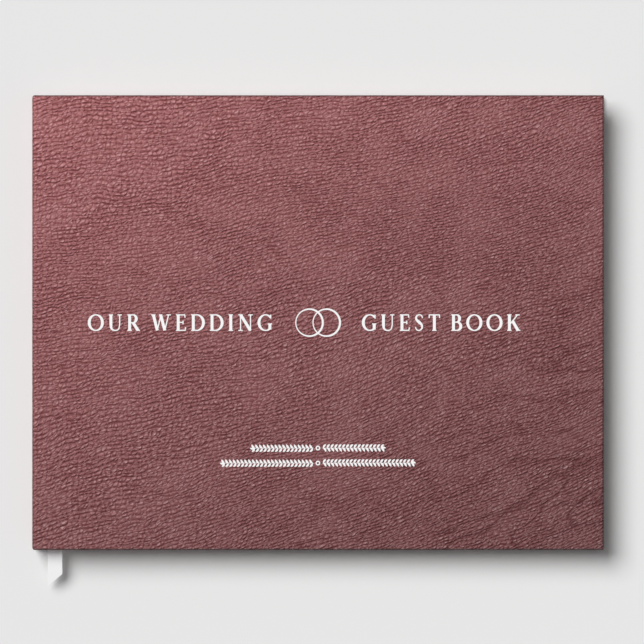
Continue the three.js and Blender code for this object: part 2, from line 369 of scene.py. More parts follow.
def leather_look():
    """Dusty rose leather, with painted highlight on the ridges, painted shade in the creases and
    along the edges, and painted light that makes it paler towards the upper left.
    """
    look, add, to_shader = new_look("rose_leather", ROSE, 0.5, Specular_IOR_Level=0.5)
    place = object_place(add)
    height = leather_height(add, place, grain_place(add, place))
    add_bump(add, to_shader, height, 1.0, GRAIN_DEPTH)
    # painted highlight on the grain's ridges and painted shade in its creases and long creases, by
    # the height of the grain
    colour = mix_colour(add, remap(add, height, -0.3, 0.3, 0.0, 1.0), CREASE_ROSE_PAINTED_SHADE, RIDGE_ROSE_PAINTED_HIGHLIGHT)
    redder = remap(add, noise(add, place, 42.0, 3.0), 0.5, 0.75, 0.0, 0.2)
    colour = mix_colour(add, redder, colour, RED_ROSE)
    # painted light: the colour is made paler towards the upper left and darker towards the lower
    # right, standing in for how the light falls across the cover
    tone = math_node(add, "EXPONENT", dot(add, place, PAINTED_LIGHT_WAY))
    # painted shade: the leather is darkened where it turns down over the edges
    dark = times(add, edge_shade_mask(add, place), PAINTED_EDGE_SHADE)
    tone = times(add, tone, math_node(add, "SUBTRACT", 1.0, dark))
    toned = add("ShaderNodeCombineXYZ", {0: tone, 1: tone, 2: tone}).outputs[0]
    to_shader("Base Color", mix_colour(add, 1.0, colour, toned, "MULTIPLY"))
    to_shader("Roughness", remap(add, height, -0.4, 0.4, 0.62, 0.35))
    return look


def paper_look(name, colour):
    """Uncoated paper: a faint fibre tooth and slow changes of tone."""
    look, add, to_shader = new_look(name, colour, 0.85, Specular_IOR_Level=0.25)
    place = object_place(add)
    fibres = noise(add, place, 1800.0, 4.0)
    cloud = noise(add, place, 35.0, 2.0)
    darker = tuple(c * 0.9 for c in colour)
    colours = mix_colour(add, fibres, darker, tuple(min(1, c * 1.03) for c in colour))
    colours = mix_colour(add, times(add, cloud, 0.25), colours, darker)
    to_shader("Base Color", colours)
    add_bump(add, to_shader, fibres, 0.35, 0.03 * MM)
    return look


def satin_look():
    """White satin: fine threads along the ribbon and a soft sheen."""
    look, add, to_shader = new_look(
        "white_satin_ribbon", (0.97, 0.97, 0.975), 0.35, Specular_IOR_Level=0.9, Sheen_Weight=1.0,
        Sheen_Roughness=0.3, Anisotropic=0.5,
    )
    long = add("ShaderNodeMapping", {"Vector": object_place(add), "Scale": (1, 0.04, 0.3)}).outputs[0]
    threads = noise(add, long, 5200.0, 2.0)
    to_shader("Base Color", mix_colour(add, threads, (0.98, 0.98, 0.985), (1.0, 1.0, 1.0)))
    add_bump(add, to_shader, threads, 0.4, 0.02 * MM)
    to_shader("Roughness", remap(add, threads, 0.3, 0.7, 0.42, 0.26))
    return look


def cloth_look(name, colour, pitch):
    """Plain weave: two crossing sets of threads, pitch metres apart."""
    look, add, to_shader = new_look(name, colour, 0.9, Specular_IOR_Level=0.2, Sheen_Weight=0.2)
    rate = 2 * math.pi / pitch / 20  # a wave texture has a band every 2 pi / 20 of its unit
    inputs = {"Vector": object_place(add), "Scale": rate, "Distortion": 0.6}
    weft = add("ShaderNodeTexWave", inputs, bands_direction="Y").outputs["Fac"]
    warp = add("ShaderNodeTexWave", inputs, bands_direction="Z").outputs["Fac"]
    weave = math_node(add, "MAXIMUM", weft, warp)
    darker = tuple(c * 0.82 for c in colour)
    to_shader("Base Color", mix_colour(add, weave, darker, colour))
    add_bump(add, to_shader, weave, 0.6, pitch / 4)
    return look


def board_look():
    """Raw greyboard: flecked recycled pulp."""
    look, add, to_shader = new_look("greyboard", (0.28, 0.26, 0.23), 0.9)
    fleck = noise(add, object_place(add), 900.0, 5.0)
    to_shader("Base Color", mix_colour(add, fleck, (0.18, 0.165, 0.145), (0.36, 0.34, 0.3)))
    add_bump(add, to_shader, fleck, 0.5, 0.1 * MM)
    return look


def foil_look():
    """Pressed white foil: satin white with the leather's grain just showing through."""
    look, add, to_shader = new_look("white_foil", (0.93, 0.93, 0.93), 0.4)
    grain = noise(add, object_place(add), 700.0, 2.0)
    to_shader("Base Color", mix_colour(add, grain, (0.9, 0.9, 0.9), (0.96, 0.96, 0.96)))
    add_bump(add, to_shader, grain, 0.3, 0.05 * MM)
    return look


# ---- camera, light and table

CAMERA_DISTANCE = 3.0  # from the front cover
FRAME_WIDTH = 314.6 * MM  # what the picture spans at the cover
PICTURE_MIDDLE = (2.0 * MM, 0.3 * MM)  # the place on the cover that the camera is above
LIGHT_STRENGTH = 3.08
LIGHT_SPREAD = math.radians(38)
LIGHT_ELEVATION = math.radians(54)
LIGHT_HEADING = math.radians(138)  # round from the fore-edge's side towards the head
FILL_STRENGTH = 0.2
camera = bpy.data.objects.new("camera", bpy.data.cameras.new("camera"))
camera.location = (*PICTURE_MIDDLE, TOP + CAMERA_DISTANCE)
camera.data.lens = camera.data.sensor_width * CAMERA_DISTANCE / FRAME_WIDTH
camera.data.clip_end = 20
bpy.context.collection.objects.link(camera)
bpy.context.scene.camera = camera
bpy.context.scene.view_settings.view_transform = "Standard"


def build_light():
    """One broad soft light from the upper left, and a dim even fill."""
    sun = bpy.data.objects.new("window_light", bpy.data.lights.new("window_light", "SUN"))
    sun.data.energy = LIGHT_STRENGTH
    sun.data.angle = LIGHT_SPREAD
    level = math.cos(LIGHT_ELEVATION)
    source = (level * math.cos(LIGHT_HEADING), level * math.sin(LIGHT_HEADING),
              math.sin(LIGHT_ELEVATION))
    sun.rotation_mode = "QUATERNION"
    sun.rotation_quaternion = Vector(source).to_track_quat("Z", "Y")
    bpy.context.collection.objects.link(sun)
    world = bpy.data.worlds.new("studio")
    bpy.context.scene.world = world
    world.use_nodes = True
    fill = world.node_tree.nodes["Background"]
    fill.inputs["Color"].default_value = (1, 1, 1, 1)
    fill.inputs["Strength"].default_value = FILL_STRENGTH


def build_table():
    """A wide pale table top, a hair under the book."""
    reach, level = 30.0, -0.1 * MM
    corners = [(-reach, -reach, level), (reach, -reach, level),
               (reach, reach, level), (-reach, reach, level)]
    table = new_object("table", corners, [(0, 1, 2, 3)], smooth=False)
    look, _, _ = new_look("pale_table", (0.8, 0.8, 0.8), 0.9, Specular_IOR_Level=0.0)
    table.data.materials.append(look)


# ---- the page marker

RIBBON_WIDTH = 7.1 * MM
RIBBON_THICKNESS = 0.16 * MM
MARKER_X = SPINE + 10.85 * MM
CUT_RISE = 2.95 * MM  # half of how much longer the marker is on its spine side
CUT_DROOP = 0.6 * MM
# The marker's route, in millimetres. At the head: where its middle is, and half its width as a
# vector. Then, from the head to the cut end: how far along the book and how high its middle is.
MARKER_HEAD = [
    ((-135.6, 108.3, 6.2), (0, 0, 2.4)),
    ((-134.0, 108.4, 6.4), (0, 0, 2.5)),
    ((-132.2, 109.1, 6.9), (1.0, 0.2, 2.6)),
    ((-130.4, 109.5, 7.6), (2.2, 0.3, 2.2)),
    ((-129.2, 109.0, 8.4), (3.1, 0.1, 1.1)),
]
MARKER_RUN = [
    (108.4, 8.75), (107.6, 8.75), (90, 8.75), (50, 8.75), (10, 8.75), (-30, 8.75), (-70, 8.75),
    (-107.0, 8.75), (-109.0, 8.75), (-112.0, 8.7), (-116.0, 8.45), (-120.0, 8.0), (-126.15, 6.85),
]


def marker_stations():
    """Where the marker's middle goes, and half its width there, in metres."""
    half = RIBBON_WIDTH / 2
    middles = [np.array(at) * MM for at, _ in MARKER_HEAD]
    halves = [np.array(across) * MM for _, across in MARKER_HEAD]
    for y, z in MARKER_RUN:
        middles.append(np.array((MARKER_X, y * MM, z * MM)))
        halves.append(np.array((half, 0, 0)))
    halves[-1] = np.array((half, CUT_RISE, CUT_DROOP))
    return np.array(middles), np.array(halves)


def smooth_through(values, steps):
    """A Catmull-Rom curve through rows of values, with so many steps between each two."""
    padded = np.concatenate([2 * values[:1] - values[1:2], values, 2 * values[-1:] - values[-2:-1]])
    rows = []
    for i in range(1, len(padded) - 2):
        before, start, end, after = padded[i - 1 : i + 3]
        for t in np.arange(steps) / steps:
            rows.append(0.5 * (2 * start + (end - before) * t
                               + (2 * before - 5 * start + 4 * end - after) * t * t
                               + (3 * start - before - 3 * end + after) * t ** 3))
    rows.append(values[-1])
    return np.array(rows)


def build_marker():
    """The ribbon: down between the middle gatherings and out past the tail."""
    middles, halves = marker_stations()
    steps = 5
    line, across = smooth_through(middles, steps), smooth_through(halves, steps)
    columns = np.linspace(-1, 1, 15)
    grid = line[None] + columns[:, None, None] * across[None]
    points, faces = sheet_mesh(grid, RIBBON_THICKNESS)
    marker = new_object("page_marker", points, faces)
    finish_piece(marker, satin_look(), "white_satin", "page_marker_ribbon")
    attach(marker, "back_half")


# ---- the leather case

SKIN = 0.35 * MM  # the leather's thickness
SPINE_ROUND = 2.2 * MM  # radius where the spine turns onto a cover
EDGE_ROUND = 0.75 * MM
INNER_ROUND = 0.5 * MM
CORNER_ROUND = 1.3 * MM  # of the spine's corners, seen from above
TURN_IN = 16 * MM
JOINT_DEPTH = 1.9 * MM  # leather folded double and lined, with no board between
SPINE_EDGE_ROUND = 0.3 * MM
SPINE_RAMP, JOINT_RAMP = 0.7 * MM, 0.8 * MM  # over which the depth changes there
COARSE = 8  # the hidden inner face has one cell to so many of the outer one
WRAP_STEPS = 5, 4, 4, 3  # over the edge, down the side, round the inner edge, across the turn-in
WRAPS = sum(WRAP_STEPS)


def corner_inset(x):
    """How much shorter the case is at x, where its spine's corners are rounded."""
    short = min(CORNER_ROUND, max(0.0, SPINE + CORNER_ROUND - x))
    return CORNER_ROUND - math.sqrt(CORNER_ROUND ** 2 - short ** 2)


def profile_columns():
    """The line down the middle of a half case, spine to fore-edge: rows of x, z, nx, nz, depth
    and distance run. Depth is from the outer face to the turned-in leather."""
    rows = []

    def add(x, z, nx, nz):
        on_spine = smoothstep((HINGE_Z + 0.2 * MM - z) / SPINE_RAMP) if nx < -0.99 else 0.0
        on_board = smoothstep((x - BOARD_EDGE + 1.0 * MM) / JOINT_RAMP)
        depth = JOINT_DEPTH + (TURN_IN_DEPTH - JOINT_DEPTH) * max(on_spine, on_board)
        run = 0.0
        if rows:
            run = rows[-1][5] + math.dist((x, z), rows[-1][:2])
        rows.append((x, z, nx, nz, depth, run))

    shoulder = TOP - SPINE_ROUND
    for t in np.linspace(0, 1, 9)[:-1]:
        add(SPINE, MIDDLE + (shoulder - MIDDLE) * t, -1.0, 0.0)
    for t in np.linspace(0, math.pi / 2, 9)[:-1]:
        add(SPINE + SPINE_ROUND * (1 - math.cos(t)), shoulder + SPINE_ROUND * math.sin(t),
            -math.cos(t), math.sin(t))
    near, far = SPINE + SPINE_ROUND, BOARD_EDGE + 1 * MM
    for x in np.linspace(near, far, 17)[:-1]:
        add(x, TOP, 0.0, 1.0)
    for x in np.linspace(far, FORE_EDGE - EDGE_ROUND, 169):
        add(x, TOP, 0.0, 1.0)
    return np.array(rows)


def wrap_steps(depth, offset, edge_round=EDGE_ROUND):
    """How the skin goes over an edge: (outset from the edge line, depth, distance run) a step."""
    over = min(edge_round, 0.45 * depth)  # both bends have to fit in the depth
    under = min(INNER_ROUND, 0.45 * depth)
    steps = []
    for t in np.linspace(0, math.pi / 2, WRAP_STEPS[0] + 1)[1:]:
        steps.append((-over + (over - offset) * math.sin(t), over - (over - offset) * math.cos(t)))
    for t in np.linspace(0, 1, WRAP_STEPS[1] + 1)[1:]:
        steps.append((-offset, over + (depth - under - over) * t))
    for t in np.linspace(0, math.pi / 2, WRAP_STEPS[2] + 1)[1:]:
        steps.append((-under + (under - offset) * math.cos(t),
                      depth - under + (under - offset) * math.sin(t)))
    for t in np.linspace(0, 1, WRAP_STEPS[3] + 1)[1:]:
        steps.append((-under + (under - TURN_IN) * t, depth - offset))
    run, rows, last = 0.0, [], (-over, offset)
    for step in steps:
        run += math.dist(step, last)
        rows.append((*step, run))
        last = step
    return np.array(rows), over


def skin_points(columns, heights, offset):
    """One face of the skin, offset inwards. Gives the points (column, row, xyz) of the strip from
    tail turn-in to head turn-in, those of the fore-edge (step, row, xyz), and where each of them
    lies on the hide before it is wrapped."""
    rows = len(heights)
    strip = np.zeros((len(columns), rows + 2 * WRAPS, 3))
    flat = np.zeros((len(columns), rows + 2 * WRAPS, 2))
    edge_steps, edge_over = wrap_steps(TURN_IN_DEPTH, offset)
    last_x = FORE_EDGE - edge_over
    for i, (x, z, nx, nz, depth, run) in enumerate(columns):
        edge_round = EDGE_ROUND + (SPINE_EDGE_ROUND - EDGE_ROUND) * nx * nx
        steps, over = wrap_steps(depth, offset, edge_round)
        reach = HALF_HEIGHT - corner_inset(x)
        middle = slice(WRAPS, WRAPS + rows)
        strip[i, middle, 0] = x - nx * offset
        strip[i, middle, 1] = heights * (reach - over)
        strip[i, middle, 2] = z - nz * offset
        flat[i, middle, 0] = run
        flat[i, middle, 1] = heights * (reach - over)
        for k, (outset, down, along) in enumerate(steps):
            wide = x
            if x > BOARD_EDGE:
                share = (x - BOARD_EDGE) / (last_x - BOARD_EDGE)
                wide = BOARD_EDGE + share * (FORE_EDGE + edge_steps[k][0] - BOARD_EDGE)
            deep = wide - nx * down
            reach_there = HALF_HEIGHT - corner_inset(deep) + outset
            for side, row in ((-1, WRAPS - 1 - k), (1, WRAPS + rows + k)):
                strip[i, row] = (deep, side * reach_there, z - nz * down)
                flat[i, row] = (run, side * (reach - over + along))
    edge = np.zeros((WRAPS, rows, 3))
    edge_flat = np.zeros((WRAPS, rows, 2))
    for k, (outset, down, along) in enumerate(edge_steps):
        edge[k, :, 0] = FORE_EDGE + outset
        edge[k, :, 1] = heights * (HALF_HEIGHT + outset)
        edge[k, :, 2] = TOP - down
        edge_flat[k, :, 0] = columns[-1][5] + along
        edge_flat[k, :, 1] = heights * (HALF_HEIGHT - edge_over)
    return strip, edge, flat, edge_flat


class SkinIndex:
    """Numbers the points of one face of the skin, and lists its faces and its borders."""

    def __init__(self, start, columns, rows):
        self.start, self.columns, self.rows = start, columns, rows
        self.tall = rows + 2 * WRAPS
        self.count = columns * self.tall + WRAPS * rows

    def strip(self, i, row):
        """Column i of the strip, counted from the spine, at a row from the tail turn-in."""
        return self.start + i * self.tall + row

    def edge(self, k, j):
        """Step k over the fore-edge, from 1; k 0 is the strip's last column."""
        if k == 0:
            return self.strip(self.columns - 1, WRAPS + j)
        if j == 0:
            return self.strip(self.columns - 1, WRAPS - k)
        if j == self.rows - 1:
            return self.strip(self.columns - 1, WRAPS + self.rows - 1 + k)
        return self.start + self.columns * self.tall + (k - 1) * self.rows + j

    def faces(self):
        found = []
        for i in range(self.columns - 1):
            for r in range(self.tall - 1):
                found.append((self.strip(i, r), self.strip(i + 1, r),
                              self.strip(i + 1, r + 1), self.strip(i, r + 1)))
        for k in range(WRAPS):
            for j in range(self.rows - 1):
                found.append((self.edge(k, j), self.edge(k + 1, j),
                              self.edge(k + 1, j + 1), self.edge(k, j + 1)))
        return found

    def borders(self):
        """The borders that have one cell inside to several outside, then those that match."""
        top = self.tall - 1
        uneven = [
            [self.strip(i, 0) for i in range(self.columns)],
            [self.edge(WRAPS, j) for j in range(self.rows)],
            [self.strip(i, top) for i in range(self.columns)],
            [self.strip(0, WRAPS + j) for j in range(self.rows)],
        ]
        matching = [
            [self.strip(0, r) for r in range(WRAPS + 1)],
            [self.strip(0, r) for r in range(top - WRAPS, top + 1)],
        ]
        return uneven, matching


def build_leather(name, side):
    """Half of the case's leather: one cover, its joint, and half of the spine. Side is 1 for the
    front and -1 for the back, which is the front turned over."""
    columns = profile_columns()
    heights = np.linspace(-1, 1, 401)
    outer = skin_points(columns, heights, 0.0)
    inner = skin_points(columns[::COARSE], heights[::COARSE], SKIN)
    outer_index = SkinIndex(0, len(columns), len(heights))
    inner_index = SkinIndex(outer_index.count, len(columns[::COARSE]), len(heights[::COARSE]))
    faces = outer_index.faces() + [f[::-1] for f in inner_index.faces()]
    for many, few in zip(outer_index.borders()[0], inner_index.borders()[0]):
        for q in range(len(few) - 1):
            faces.append(tuple(many[q * COARSE : (q + 1) * COARSE + 1]) + (few[q + 1], few[q]))
    for one, other in zip(outer_index.borders()[1], inner_index.borders()[1]):
        for q in range(len(one) - 1):
            faces.append((one[q], one[q + 1], other[q + 1], other[q]))
    points = np.concatenate([block.reshape(-1, 3) for block in (*outer[:2], *inner[:2])])
    flat = np.concatenate([block.reshape(-1, 2) for block in outer[2:]])
    if side < 0:
        points[:, 2] = TOP - points[:, 2]

    # the fore-edge's corner points are the strip's, so their own copies are dropped
    used = np.zeros(len(points), bool)
    used[np.concatenate([np.array(f) for f in faces])] = True
    number = np.cumsum(used) - 1
    faces = [tuple(int(number[i]) for i in f) for f in faces]
    flat = flat[used[: len(flat)]]
    piece = new_object(name, points[used], faces)

    # wrinkles, raised along each outer point's own normal
    normals = np.zeros(len(piece.data.vertices) * 3)
    piece.data.vertices.foreach_get("normal", normals)
    normals = normals.reshape(-1, 3)[: len(flat)]
    places = np.zeros(len(piece.data.vertices) * 3)
    piece.data.vertices.foreach_get("co", places)
    places = places.reshape(-1, 3)
    relief = leather_relief(side * (flat[:, 0] - MIDDLE) + SPINE, flat[:, 1])
    places[: len(flat)] += normals * (relief[:, None] - RELIEF_SINK) * RELIEF_HEIGHT
    piece.data.vertices.foreach_set("co", places.ravel())
    piece.data.update()
    return piece


def build_case(look):
    """The two halves, each with its joint between the spine panel and a cover."""
    front = build_leather("front_case_leather", 1)
    finish_piece(front, look, "leather", "front_cover_leather", "front_joint_leather",
                 "spine_leather")
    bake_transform(front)
    back = build_leather("back_case_leather", -1)
    finish_piece(back, look, "leather", "back_cover_leather", "back_joint_leather")
    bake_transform(back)


# ---- endpapers and pages

PASTEDOWN_TUCK = 3.2 * MM  # how far the pastedown reaches into the joint
PASTEDOWN_STEP = 0.38 * MM  # from the turned-in leather down to the board
PASTEDOWN_RAMP = 1.2 * MM
PASTEDOWN_PAPER = 0.18 * MM
FLYLEAF_PAPER = 0.17 * MM
COCKLE = 0.008 * MM  # how far a flyleaf ripples


def build_pastedown(name, node, body, side, look):
    """The paper inside a cover: it sinks where the turned-in leather ends and the board begins."""
    low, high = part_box(node)
    x = np.linspace(low.x - PASTEDOWN_TUCK, high.x, 120)
    y = np.linspace(low.y, high.y, 100)
    across, along = np.meshgrid(x, y, indexing="ij")
    inset = TURN_IN + 0.2 * MM
    sunk = np.minimum.reduce([
        smoothstep((FORE_EDGE - inset - across) / PASTEDOWN_RAMP),
        smoothstep((HALF_HEIGHT - inset - np.abs(along)) / PASTEDOWN_RAMP),
        np.where(across > BOARD_EDGE, 1.0, 0.0),
    ])
    face = HINGE_Z + PASTEDOWN_PAPER / 2 + sunk * PASTEDOWN_STEP
    level = face if side > 0 else TOP - face
    piece = sheet_piece(name, node, look, "endpaper", (across, along, level), PASTEDOWN_PAPER)
    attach(piece, body)


def build_flyleaf(name, node, body, look, seed):
    """The free half of an endpaper, with the faint cockle that paper takes on."""
    low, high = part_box(node)
    x = np.linspace(low.x, high.x, 90)
    y = np.linspace(low.y, high.y, 70)
    across, along = np.meshgrid(x, y, indexing="ij")
    ripple = lattice_noise(across / (60 * MM), along / (50 * MM), seed)
    level = (low.z + high.z) / 2 + ripple * COCKLE
    piece = sheet_piece(name, node, look, "endpaper", (across, along, level), FLYLEAF_PAPER)
    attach(piece, body)


GATHERINGS = 8
TURNED = 4  # gatherings that turn over with the front cover
LEAVES = 8  # in a gathering
FOLD_STEPS = 8
TRIM = 0.22 * MM  # how unevenly the fore-edges are trimmed
END_TRIM = 0.2 * MM


def folded_sheet(low, high, order, random):
    """One folded sheet of a gathering, outermost first: two leaves and the fold between them."""
    thick = high.z - low.z
    pitch = thick / LEAVES
    radius = thick / 2 - (order + 0.5) * pitch
    centre_x = low.x + thick / 2
    centre_z = (low.z + high.z) / 2
    reach = high.x - random.uniform(0.0, TRIM)
    other_reach = high.x - random.uniform(0.0, TRIM)
    line = [(x, centre_z + radius) for x in np.linspace(reach, centre_x, 15)[:-1]]
    for turn in np.linspace(math.pi / 2, 1.5 * math.pi, FOLD_STEPS + 1):
        line.append((centre_x + radius * math.cos(turn), centre_z + radius * math.sin(turn)))
    line += [(x, centre_z - radius) for x in np.linspace(centre_x, other_reach, 15)[1:]]
    line = np.array(line)
    y = np.linspace(low.y + random.uniform(0, END_TRIM), high.y - random.uniform(0, END_TRIM), 9)
    grid = np.stack(np.broadcast_arrays(line[:, :1], y[None], line[:, 1:]), axis=2)
    return sheet_mesh(grid, pitch * 0.8)  # the rest is air between the leaves


def build_gathering(number, look):
    """Four folded sheets, trimmed together but never quite level at the edges."""
    node = f"gathering_{number}"
    low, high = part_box(node)
    random = np.random.default_rng(100 + number)
    sheets = [folded_sheet(low, high, order, random) for order in range(LEAVES // 2)]
    points, faces = join_meshes(sheets)
    piece = new_object(f"gathering_of_leaves_{number}", points, faces, smooth=False)
    finish_piece(piece, look, "page_paper", node)
    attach(piece, node if number <= TURNED else "back_half")


# ---- spine: bands, lining, sewing

WINDING = 0.55 * MM  # from one turn of a band's thread to the next
LINING_CLOTH = 0.25 * MM
STITCH_ROWS = 4
THREAD = 0.1 * MM  # radius of the sewing thread
SLACK = 0.14 * MM  # how far the last front stitch stands back, to clear the folds that swing open


def bend_with_block(piece):
    """Bakes the piece's placement into its mesh."""
    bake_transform(piece)


def build_band(name, node, look):
    """A sewn band: a round core wound with thread, so it is ribbed along its length."""
    low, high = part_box(node)
    radius = (high.x - low.x) / 2
    centre_x, centre_y = (low.x + high.x) / 2, (low.y + high.y) / 2
    rounds, sides = 160, 20
    points = []
    for level in np.linspace(low.z, high.z, rounds):
        end = min(level - low.z, high.z - level)
        ripple = 0.9 + 0.1 * abs(math.sin(math.pi * (level - low.z) / WINDING))
        size = radius * ripple * math.sqrt(min(1.0, (end + 0.15 * MM) / (0.4 * MM)))
        for turn in np.arange(sides) / sides * 2 * math.pi:
            points.append((centre_x + size * math.cos(turn), centre_y + size * math.sin(turn), level))
    piece = new_object(name, points, tube_faces(rounds, sides, closed=False))
    finish_piece(piece, look, "band_cotton", node)
    bend_with_block(piece)


STRIPE_PITCH = 2.2 * MM


def band_look():
    """Cotton band: white thread with a rose stripe."""
    look, add, to_shader = new_look("striped_band", (0.85, 0.83, 0.83), 0.75, Sheen_Weight=0.25)
    place = object_place(add)
    turn = math_node(add, "DIVIDE", part(add, place, "Z"), STRIPE_PITCH)
    turn = math_node(add, "FRACT", turn)
    stripe = math_node(add, "GREATER_THAN", turn, 0.5)
    to_shader("Base Color", mix_colour(add, stripe, (0.84, 0.82, 0.8), (0.42, 0.2, 0.21)))
    add_bump(add, to_shader, noise(add, place, 6000.0, 2.0), 0.5, 0.05 * MM)
    return look


def build_lining(look):
    """The open cloth glued over the sewing, slightly puckered."""
    low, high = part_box("spine_lining")
    y = np.linspace(low.y, high.y, 120)
    z = np.linspace(low.z, high.z, 30)
    along, level = np.meshgrid(y, z, indexing="ij")
    pucker = lattice_noise(along / (4 * MM), level / (2 * MM), 41) * 0.02 * MM
    x = (low.x + high.x) / 2 + pucker
    bend_with_block(sheet_piece("spine_lining_cloth", "spine_lining", look, "lining_cloth",
                                (x, along, level), LINING_CLOTH))


def build_sewing(number, look):
    """One row of link stitches: a small loop of thread for each gathering."""
    node = f"sewing_thread_{number}"
    low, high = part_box(node)
    turns = np.linspace(0, 2 * math.pi, 25)[:-1]
    sides = np.arange(8) / 8 * 2 * math.pi
    links = []
    pitch = (high.z - low.z) / GATHERINGS
    middle_x, middle_y = (low.x + high.x) / 2, (low.y + high.y) / 2
    wide, tall = (high.y - low.y) / 2 - THREAD, pitch * 0.58 - THREAD
    half = GATHERINGS // 2
    for link in range(GATHERINGS):
        centre = low.z + (link + 0.5) * pitch
        slack = SLACK * (max(0, link - half) / (half - 1)) ** 2
        points = []
        for turn in turns:
            y, z = math.cos(turn), math.sin(turn)
            x = middle_x - slack + 0.02 * MM * z
            for side in sides:
                level = centre + (tall + THREAD * math.cos(side)) * z
                points.append((
                    x + THREAD * math.sin(side),
                    middle_y + (wide + THREAD * math.cos(side)) * y,
                    min(high.z, max(low.z, level)),
                ))
        links.append((points, tube_faces(len(turns), len(sides), closed=True)))
    points, faces = join_meshes(links)
    piece = new_object(f"link_stitches_{number}", points, faces)
    finish_piece(piece, look, "sewing_thread", node)
    bend_with_block(piece)


# ---- pressed foil on the cover

FOIL = 0.14 * MM
FOIL_LEVEL = TOP - 0.02 * MM  # middle of the foil, which stands just clear of the wrinkles
CAPITAL = 8.1 * MM  # height of the title's letters
THICK, THIN, SERIF = 0.175, 0.07, 0.065  # widths of the pen, in capitals' heights
TITLE = (("OUR WEDDING", -112.3 * MM, -22.4 * MM), ("GUEST BOOK", 21.6 * MM, 98.8 * MM))
RING_RADIUS, RING_OFFSET = 6.6 * MM, 4.2 * MM
RING_THIN, RING_THICK = 0.5 * MM, 1.0 * MM
VINES = (("foil_upper_leaves", -61.3 * MM, 33.2 * MM), ("foil_lower_leaves", -68.6 * MM, 47.9 * MM))
LEAF, LEAF_WIDTH, LEAF_PITCH = 2.3 * MM, 0.95 * MM, 1.9 * MM
LEAF_ANGLE = math.radians(52)
FIRST_LEAF = 2.6 * MM  # from the bead's middle
STALK, STALK_START = 0.28 * MM, 2.2 * MM
BEAD_RADIUS, BEAD_WIDTH = 0.85 * MM, 0.595 * MM
SLIVER = 0.002 * MM  # merging the strokes can leave edges shorter than this


def pen(*points):
    """A smooth pen stroke through points of x, y and width."""
    return smooth_through(np.array(points, float), 6)


def rule(x0, y0, x1, y1, width=THIN):
    """A straight pen stroke."""
    return np.array(((x0, y0, width), (x1, y1, width)))


def foot(x, y, reach=0.13):
    """A short flat serif across the end of a stem."""
    return rule(x - reach, y, x + reach, y, SERIF)


def bowl(x, y, wide, tall, start, end):
    """Part of a round letter, in degrees from the right: the pen is heavy at its sides."""
    turn = np.radians(np.linspace(start, end, 33))
    width = THIN + (THICK - THIN) * np.abs(np.cos(turn)) ** 1.5
    return np.stack([x + wide * np.cos(turn), y + tall * np.sin(turn), width], axis=1)


def stem(x, width=THICK, feet=(0, 1)):
    """An upright with a serif at each of its feet: 0 is its foot and 1 its head."""
    ends = [foot(x, abs(end - SERIF / 2)) for end in feet]
    return [rule(x, 0.01, x, 0.99, width), *ends]


